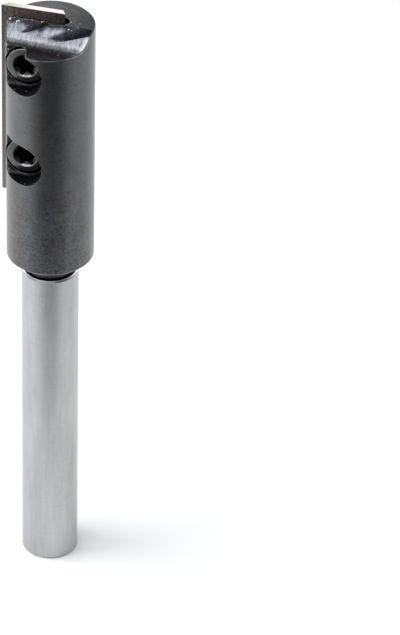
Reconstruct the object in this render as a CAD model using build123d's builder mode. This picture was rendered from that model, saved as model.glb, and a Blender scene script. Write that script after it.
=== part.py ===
# Straight router bit with one clamped carbide knife.
# +Z runs along the tool axis from the shank's end, the knife's rake face looks to -Y
# and its cutting edge is on the -X side.  All sizes are in millimetres.

from build123d import *

import os
from math import radians, tan

os.makedirs("parts", exist_ok=True)

# ---------------------------------------------------------------- driving dimensions

# Shank, the ground part that the collet holds
shank_diameter = 8.0
shank_length = 49.2
shank_end_chamfer = 0.2
shank_shoulder_chamfer = 0.25

# Relief neck between the shank and the head
neck_diameter = 7.0
neck_length = 2.5

# Head, the turned cylinder that carries the knife
head_diameter = 12.25
head_length = 37.55
head_lower_chamfer = 0.25
head_upper_chamfer = 0.1

# Knife, a flat carbide plate with bevelled long edges and a relieved top end
knife_length = 30.0
knife_width = 9.0
knife_thickness = 1.5
knife_projection = 1.6
knife_overhang = 0.975
rake_setback = 0.5
side_relief_angle = 25.0
end_relief_angle = 15.0
knife_hole_diameter = 4.0

# Screw positions, measured on the knife
screw_pitch = 14.65
screw_from_knife_top = 7.0
screw_from_cutting_edge = 4.35

# Clamping screws, cap heads with a six-lobe socket
thread_diameter = 3.5
thread_length = 4.6
thread_end_chamfer = 0.4
screw_head_diameter = 5.4
screw_head_height = 3.5
screw_head_rounding = 0.22
socket_across_lobes = 3.35
socket_across_valleys = 2.4
socket_valley_radius = 0.7
socket_depth = 2.0
socket_lobes = 6
socket_mouth_diameter = 3.6
socket_mouth_angle = 55.0
lower_socket_turn = 34.0
upper_socket_turn = 39.0

# Knife slot, its play round the knife
slot_face_clearance = 0.1
slot_side_clearance = 0.45
slot_end_clearance = 0.1

# Screw recesses milled into the front of the head, with a bore down to the knife
recess_width = 6.4
recess_floor = 2.75
recess_corner_radius = 0.6
head_bore_clearance = 0.3
thread_clearance = 0.05

# Chip gullet, milled into the front of the head's top in three wedge-shaped cuts.  Each cut
# runs along the corner between its sloping wall and its floor.  The corner's two ends are
# given as distances to the right of the tool axis, in front of it and below the head's top.
main_cut_start = (-5.1, 2.0, 2.2)
main_cut_end = (5.4, 3.0, 1.9)
main_cut_wall_angle = 42.0
main_cut_floor_angle = 3.0
main_cut_corner_radius = 2.2

left_cut_start = (-4.9, 1.7, 1.95)
left_cut_end = (-1.9, -0.4, 0.3)
left_cut_wall_angle = 48.0
left_cut_floor_angle = 8.0
left_cut_corner_radius = 2.6
left_cut_floor_length = 1.7

right_cut_start = (0.0, 1.99, 1.87)
right_cut_end = (4.4, -0.33, 0.29)
right_cut_wall_angle = 46.0
right_cut_floor_angle = 4.0
right_cut_corner_radius = 3.5
right_cut_floor_length = 3.0

# ---------------------------------------------------------------- worked-out places

shank_radius = shank_diameter / 2
neck_radius = neck_diameter / 2
head_radius = head_diameter / 2
cutting_radius = head_radius + knife_overhang

head_bottom = shank_length + neck_length
head_top = head_bottom + head_length

knife_top = head_top + knife_projection
knife_bottom = knife_top - knife_length
knife_right = knife_width - cutting_radius

screw_x = screw_from_cutting_edge - cutting_radius
upper_screw = knife_top - screw_from_knife_top
lower_screw = upper_screw - screw_pitch

# Planes parallel to the knife look to the front, so a plane's offset is its distance
# in front of the tool axis.
rake_plane = Plane.XZ.offset(-rake_setback)
seat_plane = Plane.XZ.offset(-rake_setback - knife_thickness)
slot_front_plane = Plane.XZ.offset(slot_face_clearance - rake_setback)
recess_plane = Plane.XZ.offset(recess_floor)

# ---------------------------------------------------------------- knife

side_fall = knife_thickness * tan(radians(side_relief_angle))
end_fall = knife_thickness * tan(radians(end_relief_angle))

with BuildPart() as knife:
    with BuildSketch(rake_plane):
        with Locations((knife_right, knife_top)):
            Rectangle(knife_width, knife_length, align=(Align.MAX, Align.MAX))
    with BuildSketch(seat_plane):
        with Locations((knife_right - side_fall, knife_top - end_fall)):
            Rectangle(
                knife_width - 2 * side_fall,
                knife_length - end_fall,
                align=(Align.MAX, Align.MAX),
            )
    loft(ruled=True)
    with BuildSketch(rake_plane):
        with Locations((screw_x, lower_screw), (screw_x, upper_screw)):
            Circle(knife_hole_diameter / 2)
    extrude(amount=-knife_thickness, mode=Mode.SUBTRACT)

knife.part.label = "knife"
export_step(knife.part, "parts/knife.step")

# ---------------------------------------------------------------- clamping screws

screw_head_radius = screw_head_diameter / 2
valley_circle_distance = socket_across_valleys / 2 + socket_valley_radius
socket_mouth_run = (socket_mouth_diameter - socket_across_valleys) / 2
socket_mouth_depth = socket_mouth_run / tan(radians(socket_mouth_angle))

with BuildPart() as clamp_screws:
    with BuildSketch(rake_plane):
        with Locations((screw_x, lower_screw), (screw_x, upper_screw)):
            Circle(screw_head_radius)
    extrude(amount=screw_head_height)
    outer_rims = clamp_screws.edges().group_by(Axis.Y)[0]
    fillet(outer_rims, screw_head_rounding)

    with BuildSketch(rake_plane):
        with Locations((screw_x, lower_screw), (screw_x, upper_screw)):
            Circle(thread_diameter / 2)
    extrude(amount=-thread_length)
    thread_ends = clamp_screws.edges().group_by(Axis.Y)[-1]
    chamfer(thread_ends, thread_end_chamfer)

    for height, turn in ((lower_screw, lower_socket_turn), (upper_screw, upper_socket_turn)):
        # Six-lobe socket, and the cone that breaks the edge of its mouth
        with BuildSketch(rake_plane.offset(screw_head_height)):
            with Locations((screw_x, height)):
                Circle(socket_across_lobes / 2)
                with PolarLocations(valley_circle_distance, socket_lobes, start_angle=turn):
                    Circle(socket_valley_radius, mode=Mode.SUBTRACT)
        extrude(amount=-socket_depth, mode=Mode.SUBTRACT)
        with BuildSketch(rake_plane.offset(screw_head_height)):
            with Locations((screw_x, height)):
                Circle(socket_mouth_diameter / 2)
        with BuildSketch(rake_plane.offset(screw_head_height - socket_mouth_depth)):
            with Locations((screw_x, height)):
                Circle(socket_across_valleys / 2)
        loft(mode=Mode.SUBTRACT)

clamp_screws.part.label = "clamp_screws"
export_step(clamp_screws.part, "parts/clamp_screws.step")

# ---------------------------------------------------------------- holder

slot_gap = knife_thickness + slot_face_clearance
slot_mouth = cutting_radius
slot_end = knife_right + slot_side_clearance
slot_floor = knife_bottom - slot_end_clearance
head_bore_radius = screw_head_radius + head_bore_clearance
cut_height = 3 * max(main_cut_start[2], main_cut_end[2]) / 2

# One recess as the cutter leaves it: round at its right end, open to the left,
# with the cutter's corner radius round its floor.
with BuildPart() as recess:
    with BuildSketch(recess_plane):
        Circle(recess_width / 2)
        Rectangle(head_diameter, recess_width, align=(Align.MAX, Align.CENTER))
    extrude(amount=head_radius)
    fillet(recess.faces().sort_by(Axis.Y)[-1].edges(), recess_corner_radius)



def corner_point(place):
    """Point of the gullet given to the right of, in front of and below the head's top."""
    right, forward, depth = place
    return Vector(right, -forward, head_top - depth)


def gullet_cut(start, end, wall_angle, floor_angle, corner_radius, floor_length, overrun):
    """Wedge-shaped cut along the line from start to end, overrun further at both ends."""
    first = corner_point(start)
    along = (corner_point(end) - first).normalized()
    reach = (corner_point(end) - first).length
    forward = along.cross(Vector(0, 0, 1)).normalized()
    with BuildPart() as cut:
        with BuildSketch(Plane(origin=first - along * overrun, x_dir=forward, z_dir=-along)) as profile:
            with BuildLine():
                Polyline(
                    (0, 0),
                    (floor_length, -floor_length * tan(radians(floor_angle))),
                    (floor_length, cut_height),
                    (-cut_height / tan(radians(wall_angle)), cut_height),
                    close=True,
                )
            make_face()
            fillet(profile.vertices().sort_by_distance((0, 0))[0], corner_radius)
        extrude(amount=-(reach + head_radius + overrun))
    return cut


main_cut = gullet_cut(
    main_cut_start,
    main_cut_end,
    main_cut_wall_angle,
    main_cut_floor_angle,
    main_cut_corner_radius,
    head_diameter,
    head_radius,
)
left_cut = gullet_cut(
    left_cut_start,
    left_cut_end,
    left_cut_wall_angle,
    left_cut_floor_angle,
    left_cut_corner_radius,
    left_cut_floor_length,
    0,
)
right_cut = gullet_cut(
    right_cut_start,
    right_cut_end,
    right_cut_wall_angle,
    right_cut_floor_angle,
    right_cut_corner_radius,
    right_cut_floor_length,
    0,
)

with BuildPart() as holder:
    # Turned blank
    with BuildSketch(Plane.XZ):
        with BuildLine():
            Polyline(
                (0, 0),
                (shank_radius - shank_end_chamfer, 0),
                (shank_radius, shank_end_chamfer),
                (shank_radius, shank_length - shank_shoulder_chamfer),
                (shank_radius - shank_shoulder_chamfer, shank_length),
                (neck_radius, shank_length),
                (neck_radius, head_bottom),
                (head_radius - head_lower_chamfer, head_bottom),
                (head_radius, head_bottom + head_lower_chamfer),
                (head_radius, head_top - head_upper_chamfer),
                (head_radius - head_upper_chamfer, head_top),
                (0, head_top),
                close=True,
            )
        make_face()
    revolve(axis=Axis.Z)

    # Knife slot, open to the left and the top, round at its blind side
    with BuildSketch(Plane.XY.offset(slot_floor)):
        with Locations((slot_end - slot_gap / 2, rake_setback + slot_gap / 2 - slot_face_clearance)):
            Circle(slot_gap / 2)
            Rectangle(slot_mouth + slot_end, slot_gap, align=(Align.MAX, Align.CENTER))
    extrude(amount=head_length, mode=Mode.SUBTRACT)

    # Chip gullet, the main cut first and the two cuts into its wall after it
    for cut in (main_cut, left_cut, right_cut):
        add(cut.part, mode=Mode.SUBTRACT)

    # Screw recesses, head bores down to the slot and tapped holes through the rear wall
    with Locations((screw_x, 0, lower_screw), (screw_x, 0, upper_screw)):
        add(recess.part, mode=Mode.SUBTRACT)
    with BuildSketch(slot_front_plane):
        with Locations((screw_x, lower_screw), (screw_x, upper_screw)):
            Circle(head_bore_radius)
    extrude(amount=head_radius, mode=Mode.SUBTRACT)
    with BuildSketch(seat_plane):
        with Locations((screw_x, lower_screw), (screw_x, upper_screw)):
            Circle(thread_diameter / 2 + thread_clearance)
    extrude(amount=-head_diameter, mode=Mode.SUBTRACT)

holder.part.label = "holder"
export_step(holder.part, "parts/holder.step")
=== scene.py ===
from math import cos, pi, radians, sin, tan

import bpy
from mathutils import Matrix, Vector


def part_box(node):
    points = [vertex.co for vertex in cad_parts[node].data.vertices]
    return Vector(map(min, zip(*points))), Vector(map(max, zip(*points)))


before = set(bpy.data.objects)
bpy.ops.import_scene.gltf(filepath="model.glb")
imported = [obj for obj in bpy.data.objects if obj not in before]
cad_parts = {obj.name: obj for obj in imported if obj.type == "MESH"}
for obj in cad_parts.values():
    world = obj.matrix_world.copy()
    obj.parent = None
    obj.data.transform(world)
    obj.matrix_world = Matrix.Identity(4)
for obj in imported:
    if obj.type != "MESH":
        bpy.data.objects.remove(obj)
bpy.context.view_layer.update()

# ---------------------------------------------------------------- holder
# Head, relief neck and shank turned from one bar of steel.  Head and neck are
# blackened after milling; the shank is ground bright for the collet, and the
# gullet across the top shows the milling cutter's marks under its thin black.

MM = 0.001
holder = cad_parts["holder"]
holder_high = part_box("holder")[1]

shoulder_height = 49.2 * MM
neck_radius = 3.5 * MM
head_bottom = 51.7 * MM
head_top = holder_high.z
head_radius = holder_high.x
gullet_floor = head_top - 2.35 * MM
slot_right = 2.45 * MM
slot_front = 0.37 * MM
top_skin = 0.02 * MM
wall_skin = 0.15 * MM


class Finish:
    """A material or a room: its nodes, and the steps that work out its colours and relief."""

    def __init__(self, owner):
        self.owner = owner
        owner.use_nodes = True
        owner.node_tree.nodes.clear()

    def node(self, kind, inputs=None, **settings):
        made = self.owner.node_tree.nodes.new(kind)
        for key, value in settings.items():
            setattr(made, key, value)
        for socket, value in (inputs or {}).items():
            if isinstance(value, bpy.types.NodeSocket):
                self.owner.node_tree.links.new(value, made.inputs[socket])
            else:
                made.inputs[socket].default_value = value
        return made

    def position(self):
        """The place on the piece, as one vector and as x, y and z."""
        place = self.node("ShaderNodeTexCoord").outputs["Object"]
        x, y, z = self.node("ShaderNodeSeparateXYZ", {0: place}).outputs
        return place, x, y, z

    def facing(self):
        """How far the surface faces along x, y and z, each from -1 to 1."""
        normal = self.node("ShaderNodeTexCoord").outputs["Normal"]
        return self.node("ShaderNodeSeparateXYZ", {0: normal}).outputs

    def maths(self, operation, first, second=0.0, third=0.0):
        inputs = {0: first, 1: second, 2: third}
        return self.node("ShaderNodeMath", inputs, operation=operation).outputs[0]

    def product(self, first, *others):
        for other in others:
            first = self.maths("MULTIPLY", first, other)
        return first

    def total(self, first, *others):
        for other in others:
            first = self.maths("ADD", first, other)
        return first

    def largest(self, first, *others):
        for other in others:
            first = self.maths("MAXIMUM", first, other)
        return first

    def rest_of(self, share):
        return self.maths("SUBTRACT", 1.0, share)

    def weighted(self, *parts):
        """The sum of pairs of a value and its weight."""
        return self.total(*[self.product(value, weight) for value, weight in parts])

    def swing(self, pattern, reach):
        """A noise pattern's swing about its middle, as a distance or a share of reach."""
        return self.product(self.maths("SUBTRACT", pattern, 0.5), reach)

    def rise(self, value, start, end):
        """0 up to start and 1 from end on; it falls with the value if start is above end."""
        inputs = {"Value": value, "From Min": start, "From Max": end}
        return self.node("ShaderNodeMapRange", inputs, clamp=True).outputs[0]

    def noise(self, place, scale, detail, roughness=0.5):
        inputs = {"Vector": place, "Scale": scale, "Detail": detail, "Roughness": roughness}
        return self.node("ShaderNodeTexNoise", inputs).outputs[0]

    def drawn_noise(self, place, scale, detail, roughness, turn=(0, 0, 0)):
        """Noise turned first and then drawn out, with its own scale along each axis."""
        turned = self.node("ShaderNodeMapping", {"Vector": place, "Rotation": turn}).outputs[0]
        drawn = self.node("ShaderNodeMapping", {"Vector": turned, "Scale": scale}).outputs[0]
        return self.noise(drawn, 1.0, detail, roughness)

    def mix_value(self, share, first, second):
        return self.node("ShaderNodeMix", {0: share, 2: first, 3: second}, data_type="FLOAT").outputs[0]

    def mix_colour(self, share, first, second):
        return self.node("ShaderNodeMix", {0: share, 6: first, 7: second}, data_type="RGBA").outputs[2]

    def sharp_edges(self, radius):
        """1 within the radius of a sharp edge, 0 on open faces."""
        still_open = 0.985
        fully_sharp = 0.85
        rounded = self.node("ShaderNodeBevel", {"Radius": radius}, samples=6).outputs[0]
        true = self.node("ShaderNodeNewGeometry").outputs["Normal"]
        alike = self.node("ShaderNodeVectorMath", {0: rounded, 1: true}, operation="DOT_PRODUCT")
        return self.rise(alike.outputs["Value"], still_open, fully_sharp)

    def relief(self, height, strength, distance, **under):
        inputs = {"Strength": strength, "Distance": distance, "Height": height, **under}
        return self.node("ShaderNodeBump", inputs).outputs[0]

    def close(self, shader_kind, inputs, output_kind="ShaderNodeOutputMaterial"):
        """Ends the finish with its shader."""
        shader = self.node(shader_kind, inputs)
        self.node(output_kind, {"Surface": shader.outputs[0]})

    def put_on(self, piece):
        for slot in piece.material_slots:
            slot.material = self.owner


steel = Finish(bpy.data.materials.new("blackened_and_ground_steel"))
place, x, y, z = steel.position()
facing_up = steel.facing()[2]
radial = steel.maths("SQRT", steel.total(steel.product(x, x), steel.product(y, y)))

# The black starts at the shoulder and covers its flat face, as far as its chamfer; on that face it is
# painted shade under the head
above_shoulder = steel.rise(z, shoulder_height - 0.02 * MM, shoulder_height + 0.02 * MM)
at_shoulder = steel.rise(z, shoulder_height - 0.03 * MM, shoulder_height - 0.01 * MM)
round_neck = steel.rise(radial, neck_radius + 0.28 * MM, neck_radius + 0.24 * MM)
is_head = steel.largest(above_shoulder, steel.product(at_shoulder, round_neck))

# The top, the gullet's faces, and the inner faces of the slot, bores and recesses
below_top = steel.rise(z, head_top - top_skin, head_top - 2 * top_skin)
is_top = steel.product(is_head, steel.rest_of(below_top))
inside_wall = steel.rise(radial, head_radius - wall_skin, head_radius - 1.6 * wall_skin)
above_floor = steel.rise(z, gullet_floor - 0.03 * MM, gullet_floor)
beside_slot = steel.maths("GREATER_THAN", x, slot_right)
before_slot = steel.maths("LESS_THAN", y, slot_front)
outside_slot = steel.largest(beside_slot, before_slot)
is_gullet = steel.product(below_top, above_floor, inside_wall, outside_slot)
above_neck = steel.rise(z, shoulder_height + 4 * MM, shoulder_height + 5 * MM)
is_inner = steel.product(is_head, inside_wall, below_top, above_neck)

# Black oxide in soft brown and blue patches, with fine turning marks and a few
# pits.  Its speckle is faint near the top and strong on the lower part.
blue_deep = (0.048, 0.049, 0.052, 1)
blue_pale = (0.150, 0.155, 0.162, 1)
brown_deep = (0.050, 0.046, 0.043, 1)
brown_pale = (0.152, 0.149, 0.143, 1)
middle_black = 0.5
mottle = steel.noise(place, 420.0, 5.0, 0.62)
turning_lines = steel.drawn_noise(place, (250.0, 250.0, 7000.0), 3.0, 0.6)
patches = steel.drawn_noise(place, (700.0, 700.0, 250.0), 5.0, 0.65)
skin_grain = steel.drawn_noise(place, (2300.0, 2300.0, 3400.0), 4.0, 0.75)
low_head = steel.rise(z, head_top - 20 * MM, shoulder_height + 8 * MM)
speckle_reach = steel.maths("MULTIPLY_ADD", low_head, 0.26, 0.14)
speckle = steel.swing(steel.noise(place, 3100.0, 4.0, 0.7), speckle_reach)
skin = steel.weighted((mottle, 0.2), (patches, 0.25), (skin_grain, 0.4), (turning_lines, 0.15))
skin = steel.rise(steel.total(skin, speckle), 0.39, 0.61)
contrast = steel.mix_value(low_head, 0.5, 0.95)
skin = steel.mix_value(contrast, middle_black, skin)
pits = steel.rise(steel.noise(place, 1150.0, 2.0), 0.70, 0.75)
skin = steel.product(skin, steel.rest_of(pits))
brown = steel.rise(steel.drawn_noise(place, (330.0, 330.0, 45.0), 3.0, 0.6), 0.4, 0.6)
black_deep = steel.mix_colour(brown, blue_deep, brown_deep)
black_pale = steel.mix_colour(brown, blue_pale, brown_pale)
black_colour = steel.mix_colour(skin, black_deep, black_pale)

# Rings of the facing cut on the top, with painted shade darkening it towards the right
ring_deep = (0.05, 0.058, 0.062, 1)
ring_pale = (0.17, 0.172, 0.176, 1)
top_shade_dark = (0.024, 0.028, 0.030, 1)
ring_inputs = {0: steel.product(radial, 5200.0), 1: steel.product(y, 300.0)}
ring_place = steel.node("ShaderNodeCombineXYZ", ring_inputs).outputs[0]
top_rings = steel.noise(ring_place, 1.0, 3.0, 0.6)
top_colour = steel.mix_colour(steel.rise(top_rings, 0.3, 0.7), ring_deep, ring_pale)
top_shade = steel.rise(steel.total(x, steel.swing(mottle, 6 * MM)), -1.0 * MM, 6.0 * MM)
top_colour = steel.mix_colour(top_shade, top_colour, top_shade_dark)
black_colour = steel.mix_colour(is_top, black_colour, top_colour)

# Painted shade: the inner faces of the slot, bores and recesses are painted near-black
inner_shade_deep = (0.016, 0.016, 0.018, 1)
inner_shade_pale = (0.062, 0.062, 0.066, 1)
inner_shade_colour = steel.mix_colour(steel.rise(skin_grain, 0.35, 0.65), inner_shade_deep, inner_shade_pale)
black_colour = steel.mix_colour(is_inner, black_colour, inner_shade_colour)

# Gullet: streaks across the cutter's path, blue-grey where the black is thin,
# with the wall lighter near the rim at the right, where it runs out
wall_deep = (0.105, 0.114, 0.14, 1)
wall_pale = (0.45, 0.46, 0.498, 1)
floor_shade_deep = (0.022, 0.020, 0.029, 1)
floor_shade_pale = (0.088, 0.081, 0.102, 1)
right_rim_bright = (0.62, 0.62, 0.65, 1)
milling_lines = steel.drawn_noise(place, (6500.0, 700.0, 500.0), 4.0, 0.7, (0, 0, radians(3)))
milling_patches = steel.noise(place, 1000.0, 4.0, 0.65)
streaks = steel.weighted((milling_lines, 0.6), (milling_patches, 0.4))
gullet_streaks = steel.rise(streaks, 0.36, 0.62)
wall_colour = steel.mix_colour(gullet_streaks, wall_deep, wall_pale)
floor_shade_colour = steel.mix_colour(gullet_streaks, floor_shade_deep, floor_shade_pale)
near_rim = steel.rise(radial, head_radius - 0.8 * MM, head_radius - 0.3 * MM)
right_end = steel.rise(x, 3.6 * MM, 4.4 * MM)
wall_colour = steel.mix_colour(steel.product(near_rim, right_end), wall_colour, right_rim_bright)

# The wall's foot runs 2.49 mm in front of the axis, and a little further forward
# towards the right.  In front of it lies the floor, painted darker than the wall as painted shade.
wall_foot = steel.maths("MULTIPLY_ADD", x, 0.095, 2.49 * MM)
ahead = steel.maths("SUBTRACT", steel.product(y, -1.0), wall_foot)
ahead = steel.total(ahead, steel.swing(patches, 1.8 * MM))
floor_painted_shade = steel.rise(ahead, -0.3 * MM, 1.4 * MM)
gullet_colour = steel.mix_colour(floor_painted_shade, wall_colour, floor_shade_colour)

# Painted shade, near-black, below the top's edge, in front of the slot, where a tongue
# of it comes forward, and on the floors of the two side cuts
shade_black_deep = (0.005, 0.005, 0.007, 1)
shade_black_pale = (0.030, 0.031, 0.040, 1)
painted_shade_cover = 0.95
tongue_length = 0.8 * MM
depth = steel.maths("SUBTRACT", head_top, z)
blurred_depth = steel.total(depth, steel.swing(milling_patches, 0.9 * MM))
edge_painted_shade = steel.rise(blurred_depth, 0.7 * MM, 0.2 * MM)
tongue_left = steel.rise(x, -3.9 * MM, -2.9 * MM)
tongue_right = steel.rise(x, 0.2 * MM, -1.0 * MM)
tongue = steel.product(tongue_left, tongue_right, tongue_length)
slot_painted_shade = steel.total(y, tongue, steel.swing(milling_patches, 1.6 * MM))
slot_painted_shade = steel.rise(slot_painted_shade, -0.5 * MM, 0.05 * MM)
behind_foot = steel.rise(ahead, -0.5 * MM, -0.9 * MM)
side_cut_floor = steel.rise(facing_up, 0.755, 0.83)
gullet_painted_shade = steel.largest(edge_painted_shade, slot_painted_shade, steel.product(side_cut_floor, behind_foot))
gullet_shade_colour = steel.mix_colour(gullet_streaks, shade_black_deep, shade_black_pale)
gullet_shade_share = steel.product(gullet_painted_shade, painted_shade_cover)
gullet_colour = steel.mix_colour(gullet_shade_share, gullet_colour, gullet_shade_colour)

# Bright chips of metal dust: many on the slot's lip, few on the front of the
# gullet's floor and in the recesses.  Each place has its share of bare cells.
chip_bright = (0.72, 0.71, 0.69, 1)
lip_bare = 0.6
floor_bare = 0.93
recess_bare = 0.95
dust = steel.node("ShaderNodeTexVoronoi", {"Vector": place, "Scale": 2300.0})
dust_draw = steel.node("ShaderNodeSeparateColor", {0: dust.outputs["Color"]}).outputs[0]
dust_size = steel.rise(dust.outputs["Distance"], 0.33, 0.22)
lip_height = steel.rise(z, head_top - 0.9 * MM, head_top - 0.6 * MM)
lip_front = steel.rise(y, -0.35 * MM, -0.1 * MM)
lip_back = steel.rise(y, 1.6 * MM, 1.3 * MM)
lip_end = steel.rise(x, 4.0 * MM, 3.5 * MM)
lip_draw = steel.maths("GREATER_THAN", dust_draw, lip_bare)
on_lip = steel.product(lip_height, lip_front, lip_end, lip_back, lip_draw)
floor_front = steel.rise(ahead, 1.2 * MM, 1.5 * MM)
floor_draw = steel.maths("GREATER_THAN", dust_draw, floor_bare)
on_floor = steel.product(is_gullet, floor_front, floor_draw)
recess_front = steel.rise(y, -2.55 * MM, -2.65 * MM)
recess_draw = steel.maths("GREATER_THAN", dust_draw, recess_bare)
in_recess = steel.product(is_inner, recess_front, recess_draw)
chips = steel.product(steel.largest(on_lip, on_floor, in_recess), dust_size, is_head)

# Neck, with painted shade making it nearly black at its foot and on the shoulder's flat face, under the
# head
neck_painted_shade = (0.006, 0.006, 0.007, 1)
neck_grey = (0.10, 0.10, 0.103, 1)
inside_neck = steel.rise(radial, neck_radius + 0.3 * MM, neck_radius + 0.28 * MM)
below_head = steel.rise(z, head_bottom + 0.02 * MM, head_bottom)
is_neck = steel.product(inside_neck, below_head)
neck_rise = steel.rise(z, shoulder_height + 0.2 * MM, shoulder_height + 0.6 * MM)
neck_colour = steel.mix_colour(neck_rise, neck_painted_shade, neck_grey)
black_colour = steel.mix_colour(is_neck, black_colour, neck_colour)

# The head's lower chamfer is painted lighter, as a painted highlight
chamfer_painted_highlight = (0.36, 0.36, 0.37, 1)
chamfer_height = steel.rise(z, head_bottom + 0.22 * MM, head_bottom + 0.16 * MM)
chamfer_reach = steel.rise(radial, head_radius - 0.35 * MM, head_radius - 0.25 * MM)
lower_chamfer = steel.product(chamfer_height, chamfer_reach, is_head)
black_colour = steel.mix_colour(lower_chamfer, black_colour, chamfer_painted_highlight)

# Ground shank: lines round it, faint cloudiness, a painted highlight on the upward faces
# of the shoulder chamfer and a few long slanting scratches
shank_deep = (0.37, 0.374, 0.38, 1)
shank_pale = (0.56, 0.56, 0.565, 1)
shoulder_painted_highlight = (0.70, 0.70, 0.71, 1)
scratch_bright = (0.72, 0.72, 0.73, 1)
scratch_cover = 0.4
scratch_turn = (radians(16), radians(-12), 0)
grinding_lines = steel.drawn_noise(place, (60.0, 60.0, 9000.0), 4.0, 0.7)
clouds = steel.drawn_noise(place, (260.0, 260.0, 90.0), 4.0, 0.6)
shank_grain = steel.drawn_noise(place, (1500.0, 1500.0, 130.0), 4.0, 0.6)
shank_mix = steel.weighted((grinding_lines, 0.3), (clouds, 0.4), (shank_grain, 0.3))
shank_colour = steel.mix_colour(steel.rise(shank_mix, 0.32, 0.68), shank_deep, shank_pale)
chamfer_top = steel.rise(z, shoulder_height - 0.2 * MM, shoulder_height - 0.05 * MM)
shoulder_highlight_share = steel.product(chamfer_top, steel.rise(facing_up, 0.3, 0.6))
shank_colour = steel.mix_colour(shoulder_highlight_share, shank_colour, shoulder_painted_highlight)
scratches = steel.drawn_noise(place, (3600.0, 3600.0, 260.0), 1.0, 0.5, scratch_turn)
scratches = steel.product(steel.rise(scratches, 0.73, 0.77), scratch_cover)
shank_colour = steel.mix_colour(scratches, shank_colour, scratch_bright)

# Bare steel shows in patches on all sharp edges of the head, and more of it
# along the gullet's front rim; this light colour is partly real wear and partly a painted highlight
bare_steel_and_highlight = (0.62, 0.62, 0.63, 1)
edge_wear_and_highlight_width = 0.11 * MM
rim_wear_and_highlight_width = 0.2 * MM
edge_patches = steel.rise(steel.noise(place, 1500.0, 3.0), 0.35, 0.65)
edge_wear_and_highlight = steel.product(steel.sharp_edges(edge_wear_and_highlight_width), edge_patches)
rim_front = steel.rise(y, -2.6 * MM, -2.9 * MM)
rim_reach = steel.rise(radial, head_radius - 0.5 * MM, head_radius - 0.3 * MM)
rim_height = steel.rise(z, head_top - 2.9 * MM, head_top - 2.4 * MM)
rim_below_top = steel.rise(below_top, 0.0, 0.5)
rim_patches = steel.rise(steel.noise(place, 1700.0, 3.0), 0.38, 0.58)
on_rim = steel.product(rim_front, rim_reach, rim_height, rim_below_top, rim_patches)
rim_wear_and_highlight = steel.product(steel.sharp_edges(rim_wear_and_highlight_width), on_rim)
wear_and_highlight = steel.product(steel.largest(edge_wear_and_highlight, rim_wear_and_highlight), is_head)

head_colour = steel.mix_colour(is_gullet, black_colour, gullet_colour)
steel_colour = steel.mix_colour(is_head, shank_colour, head_colour)
steel_colour = steel.mix_colour(wear_and_highlight, steel_colour, bare_steel_and_highlight)
steel_colour = steel.mix_colour(chips, steel_colour, chip_bright)

inner_roughness = 0.42
gullet_roughness = 0.23
black_roughness = steel.mix_value(mottle, 0.32, 0.44)
black_roughness = steel.mix_value(is_inner, black_roughness, inner_roughness)
head_roughness = steel.mix_value(is_gullet, black_roughness, gullet_roughness)
shank_roughness = steel.mix_value(clouds, 0.32, 0.42)
steel_roughness = steel.mix_value(is_head, shank_roughness, head_roughness)

# Relief, in which a height of 1 stands for 0.014 mm.  The skin grows rougher
# towards the head's lower end.
relief_height = 0.014 * MM
roughening = steel.maths("MULTIPLY_ADD", low_head, 5.0, 1.0)
rough_skin = steel.product(steel.noise(place, 2100.0, 3.0, 0.6), roughening)
head_relief = steel.weighted((skin_grain, 1.5), (turning_lines, 1.5), (rough_skin, 1.0))
head_relief = steel.mix_value(is_gullet, head_relief, steel.product(streaks, 2.5))
shank_relief = steel.product(grinding_lines, 0.4)
steel_relief = steel.mix_value(is_head, shank_relief, head_relief)

# A film of oil gives the black its soft shine, but not in the gullet's painted shade,
# on the painted-shade side of the top, on the neck or on the inner faces
top_dulling = 0.8
oil_cover = 0.5
dull_gullet = steel.product(is_gullet, gullet_painted_shade)
dull_top = steel.product(is_top, top_shade, top_dulling)
dull = steel.largest(dull_gullet, dull_top, is_inner, is_neck)
oil_film = steel.product(is_head, steel.rest_of(dull), oil_cover)
steel.close("ShaderNodeBsdfPrincipled", {
    "Base Color": steel_colour,
    "Roughness": steel_roughness,
    "Normal": steel.relief(steel_relief, strength=0.8, distance=relief_height),
    "Metallic": 1.0,
    "Coat Weight": oil_film,
    "Coat Roughness": 0.3,
})
steel.put_on(holder)

# ---------------------------------------------------------------- knife
# Flat knife of tungsten carbide, ground on all faces.  It lies in the slot
# against its rear wall, and its left edge and top stand clear of the head.

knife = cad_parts["knife"]
rake_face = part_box("knife")[0].y
carbide_deep = (0.235, 0.20, 0.183, 1)
carbide_pale = (0.41, 0.38, 0.362, 1)
stain_deep = (0.075, 0.048, 0.035, 1)
stain_pale = (0.31, 0.255, 0.215, 1)
stain_cover = 0.85
end_left = (0.27, 0.245, 0.235, 1)
end_right = (0.50, 0.475, 0.45, 1)
grinding_relief = 0.003 * MM

carbide = Finish(bpy.data.materials.new("ground_carbide"))
place, x, y, z = carbide.position()
facing_up = carbide.facing()[2]
bands = carbide.drawn_noise(place, (2600.0, 2600.0, 14.0), 3.0, 0.65)
grain = carbide.noise(place, 2600.0, 4.0, 0.7)
carbide_mix = carbide.rise(carbide.weighted((bands, 0.6), (grain, 0.4)), 0.3, 0.7)
carbide_colour = carbide.mix_colour(carbide_mix, carbide_deep, carbide_pale)

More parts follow.
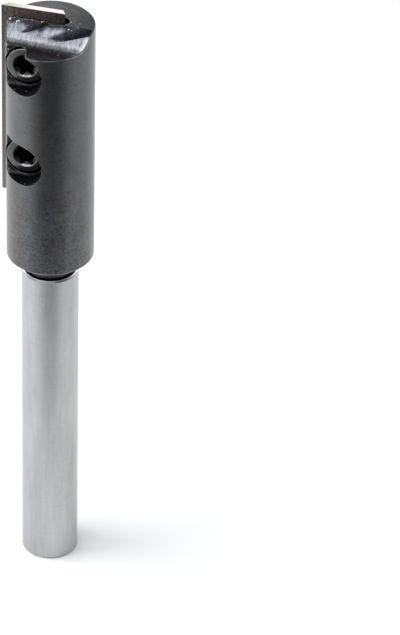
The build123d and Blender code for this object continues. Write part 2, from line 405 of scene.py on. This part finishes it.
# Brown stain on the rake face, which grows over the last 6 mm below the head's top
stain_edge = carbide.total(z, carbide.swing(carbide.noise(place, 500.0, 3.0, 0.6), 3.0 * MM))
stain_height = carbide.rise(stain_edge, head_top - 6.0 * MM, head_top)
on_rake = carbide.rise(y, rake_face + 0.02 * MM, rake_face + 0.01 * MM)
stain = carbide.product(stain_height, on_rake, stain_cover)
stain_mix = carbide.weighted((bands, 0.4), (carbide.noise(place, 1900.0, 4.0, 0.7), 0.6))
stain_colour = carbide.mix_colour(carbide.rise(stain_mix, 0.36, 0.62), stain_deep, stain_pale)
carbide_colour = carbide.mix_colour(stain, carbide_colour, stain_colour)

# The ground upper end is lighter towards the right
end_colour = carbide.mix_colour(carbide.rise(x, -6.5 * MM, -3.0 * MM), end_left, end_right)
carbide_colour = carbide.mix_colour(carbide.rise(facing_up, 0.6, 0.8), carbide_colour, end_colour)
carbide.close("ShaderNodeBsdfPrincipled", {
    "Base Color": carbide_colour,
    "Roughness": 0.3,
    "Normal": carbide.relief(carbide_mix, strength=0.3, distance=grinding_relief),
    "Metallic": 1.0,
})
carbide.put_on(knife)

# ---------------------------------------------------------------- clamping screws
# Two blackened cap screws with six-lobe sockets, rubbed lighter on their faces.
# Their heads sit in bores in the front of the head and press on the knife.

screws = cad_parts["clamp_screws"]
screw_x = -2.75 * MM
lower_screw = 69.2 * MM
upper_screw = 83.85 * MM
screw_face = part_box("clamp_screws")[0].y
face_reach = 2.75 * MM
rim_slope = 0.2
side_shade_deep = (0.03, 0.03, 0.03, 1)
side_shade_pale = (0.06, 0.058, 0.056, 1)
face_deep = (0.11, 0.11, 0.11, 1)
face_pale = (0.20, 0.197, 0.19, 1)
rubbed_and_highlight_bright = (0.60, 0.60, 0.59, 1)
screw_relief = 0.003 * MM

screw_black = Finish(bpy.data.materials.new("blackened_screw"))
place, x, y, z = screw_black.position()
facing_back, facing_up = screw_black.facing()[1:]
aside = screw_black.maths("SUBTRACT", x, screw_x)
from_lower = screw_black.maths("ABSOLUTE", screw_black.maths("SUBTRACT", z, lower_screw))
from_upper = screw_black.maths("ABSOLUTE", screw_black.maths("SUBTRACT", z, upper_screw))
off_height = screw_black.maths("MINIMUM", from_lower, from_upper)
aside_squared = screw_black.product(aside, aside)
reach_squared = screw_black.total(aside_squared, screw_black.product(off_height, off_height))

# The sides and the sockets are darker than the faces: unrubbed black, darkened further as painted shade
# in the bores and sockets
mottle = screw_black.noise(place, 1500.0, 3.0, 0.6)
side_shade_colour = screw_black.mix_colour(mottle, side_shade_deep, side_shade_pale)
face_colour = screw_black.mix_colour(mottle, face_deep, face_pale)
on_face = screw_black.rise(y, screw_face + 0.12 * MM, screw_face + 0.03 * MM)
screw_colour = screw_black.mix_colour(on_face, side_shade_colour, face_colour)

# The driver has rubbed the lower edge of each socket's mouth; its bright colour there, on faces turned up
# and out, is partly that wear and partly a painted highlight
near_face = screw_black.rise(y, screw_face + 0.5 * MM, screw_face + 0.45 * MM)
turned_up = screw_black.rise(facing_up, 0.4, 0.55)
turned_out = screw_black.rise(facing_back, -0.4, -0.5)
at_mouth = screw_black.rise(reach_squared, (1.5 * MM) ** 2, (1.6 * MM) ** 2)
rub_patches = screw_black.rise(mottle, 0.30, 0.42)
driver_rub_and_highlight = screw_black.product(near_face, turned_up, turned_out, at_mouth, rub_patches)
screw_colour = screw_black.mix_colour(driver_rub_and_highlight, screw_colour, rubbed_and_highlight_bright)

# The faces are slightly domed in the shading, up to the slope at their rims
doming = screw_black.product(reach_squared, -rim_slope / (2 * face_reach))
domed = screw_black.relief(doming, strength=1.0, distance=1.0)
screw_black.close("ShaderNodeBsdfPrincipled", {
    "Base Color": screw_colour,
    "Roughness": 0.36,
    "Normal": screw_black.relief(mottle, strength=0.3, distance=screw_relief, Normal=domed),
    "Metallic": 1.0,
})
screw_black.put_on(screws)

# ---------------------------------------------------------------- floor
# A plain white table top, far larger than the view.  The object stands on it
# with the end of its shank.

floor_reach = 3.0
table_white = (0.86, 0.865, 0.87, 1)


def level_sheet(name, reach, height, finish):
    """A square sheet round the tool axis that isn't part of the object."""
    corners = [
        (-reach, -reach, height),
        (reach, -reach, height),
        (reach, reach, height),
        (-reach, reach, height),
    ]
    mesh = bpy.data.meshes.new(name)
    mesh.from_pydata(corners, [], [(0, 1, 2, 3)])
    mesh.materials.append(finish.owner)
    sheet = bpy.data.objects.new(name, mesh)
    bpy.context.collection.objects.link(sheet)
    return sheet


white_table = Finish(bpy.data.materials.new("white_table"))
white_table.close("ShaderNodeBsdfPrincipled", {
    "Base Color": table_white,
    "Roughness": 0.7,
    "Specular IOR Level": 0.2,
})
level_sheet("floor", floor_reach, 0.0, white_table)

# ---------------------------------------------------------------- camera
# A long lens from the right of the knife's face, 36 degrees down.  The object
# stands at the left of the frame because the camera is turned to its right.

object_turn = 15.6
camera_distance = 575.0 * MM
camera_height = 452.1 * MM
camera_aside = -2.11
camera_down = 35.59
camera_roll = 1.32
picture_height = 635
focal_pixels = 5000

camera_data = bpy.data.cameras.new("camera")
camera_data.sensor_width = 36.0
camera_data.lens = focal_pixels / picture_height * camera_data.sensor_width
camera = bpy.data.objects.new("camera", camera_data)
bpy.context.collection.objects.link(camera)
camera_right = camera_distance * sin(radians(object_turn))
camera_front = camera_distance * cos(radians(object_turn))
camera.matrix_world = (
    Matrix.Translation(Vector((camera_right, -camera_front, camera_height)))
    @ Matrix.Rotation(radians(object_turn + camera_aside), 4, "Z")
    @ Matrix.Rotation(radians(90 - camera_down), 4, "X")
    @ Matrix.Rotation(radians(camera_roll), 4, "Z")
)
bpy.context.scene.camera = camera

# ---------------------------------------------------------------- light
# A large soft light in front on the left shines on the steel.  A second one at
# the left and one overhead light the floor and make the shadow, and no steel
# mirrors them.  The room has a bright horizon, a dark belt and a pale ceiling.

aim_height = 0.6 * head_top
cool_white = (0.95, 0.97, 1.0)


def soft_light(name, azimuth, elevation, distance, side, radiance):
    """A square light that faces the head; azimuth is counted from the camera's side."""
    turn = radians(object_turn + azimuth)
    lift = radians(elevation)
    away = Vector((sin(turn) * cos(lift), -cos(turn) * cos(lift), sin(lift)))
    data = bpy.data.lights.new(name, "AREA")
    data.shape = "RECTANGLE"
    data.size = side
    data.size_y = side
    data.energy = radiance * pi * side * side
    light = bpy.data.objects.new(name, data)
    bpy.context.collection.objects.link(light)
    light.location = Vector((0, 0, aim_height)) + away * distance
    light.rotation_mode = "QUATERNION"
    light.rotation_quaternion = away.to_track_quat("Z", "Y")
    light.visible_camera = False
    return light


front_left = soft_light("front_left", azimuth=-30, elevation=52, distance=0.6, side=0.72, radiance=1.35)
front_left.data.color = cool_white
left = soft_light("left", azimuth=-92, elevation=33, distance=0.7, side=0.5, radiance=5.0)
left.visible_glossy = False
top = soft_light("top", azimuth=0, elevation=88, distance=1.0, side=0.8, radiance=1.2)
top.visible_glossy = False

# The room's brightness by height, the sine of the elevation, from the horizon at 0
# to overhead at 1.  The room is dim behind the camera and bright behind the object.
horizon = (1.7, 1.7, 1.7, 1)
overhead = (1.1, 1.1, 1.12, 1)
room_levels = ((0.2, 1.6), (0.36, 0.85), (0.56, 0.7), (0.60, 0.25), (0.64, 0.06), (0.76, 0.1), (0.9, 0.7))
blue_tint = 1.02
dimmest = 0.14
brightest = 1.4

pale_room = Finish(bpy.data.worlds.new("pale_room"))
direction = pale_room.node("ShaderNodeTexCoord").outputs["Generated"]
upward = pale_room.node("ShaderNodeSeparateXYZ", {0: direction}).outputs[2]
fade = pale_room.node("ShaderNodeValToRGB", {0: upward})
fade.color_ramp.elements[0].position = 0.0
fade.color_ramp.elements[0].color = horizon
fade.color_ramp.elements[1].position = 1.0
fade.color_ramp.elements[1].color = overhead
for height, level in room_levels:
    fade.color_ramp.elements.new(height).color = (level, level, blue_tint * level, 1)
backwards = (-sin(radians(object_turn)), cos(radians(object_turn)), 0)
facing = pale_room.node("ShaderNodeVectorMath", {0: direction, 1: backwards}, operation="DOT_PRODUCT")
room_strength = pale_room.node("ShaderNodeMapRange", {
    "Value": facing.outputs["Value"],
    "From Min": -0.7,
    "From Max": 0.5,
    "To Min": dimmest,
    "To Max": brightest,
})
pale_room.close(
    "ShaderNodeBackground",
    {"Color": fade.outputs[0], "Strength": room_strength.outputs[0]},
    "ShaderNodeOutputWorld",
)
bpy.context.scene.world = pale_room.owner
bpy.context.scene.view_settings.view_transform = "Standard"

# ---------------------------------------------------------------- grey flag
# A grey filter just above the floor in front, seen by reflections alone.  It
# dims the white floor in the middle of what the round steel mirrors, and so
# gives the dark band down the head and the shank.

flag_reach = 0.9
flag_height = 0.3 * MM
flag_start = 28 * MM
flag_full = 112 * MM
flag_turn = object_turn - 2
flag_fade = 0.85
least_forward = 1 * MM
filter_clear = (1, 1, 1, 1)
filter_dark = (0.02, 0.02, 0.02, 1)

grey_filter = Finish(bpy.data.materials.new("grey_filter"))
place = grey_filter.position()[0]
turned = grey_filter.node("ShaderNodeMapping", {"Vector": place, "Rotation": (0, 0, -radians(flag_turn))})
across, backward = grey_filter.node("ShaderNodeSeparateXYZ", {0: turned.outputs[0]}).outputs[:2]
forward = grey_filter.product(backward, -1.0)
slant = grey_filter.maths("DIVIDE", across, grey_filter.largest(forward, least_forward))
along = grey_filter.maths("POWER", grey_filter.rise(forward, flag_start, flag_full), flag_fade)
left_edge = grey_filter.maths("MULTIPLY_ADD", along, -0.30, -0.10)
right_edge = grey_filter.maths("MULTIPLY_ADD", along, 0.36, 0.10)
from_left = grey_filter.rise(slant, -tan(radians(60)), left_edge)
from_right = grey_filter.rise(slant, tan(radians(65)), right_edge)
filter_share = grey_filter.product(along, from_left, from_right)
filter_colour = grey_filter.mix_colour(filter_share, filter_clear, filter_dark)
grey_filter.close("ShaderNodeBsdfTransparent", {"Color": filter_colour})

flag = level_sheet("grey_flag", flag_reach, flag_height, grey_filter)
flag.visible_camera = False
flag.visible_diffuse = False
flag.visible_shadow = False
flag.visible_transmission = False
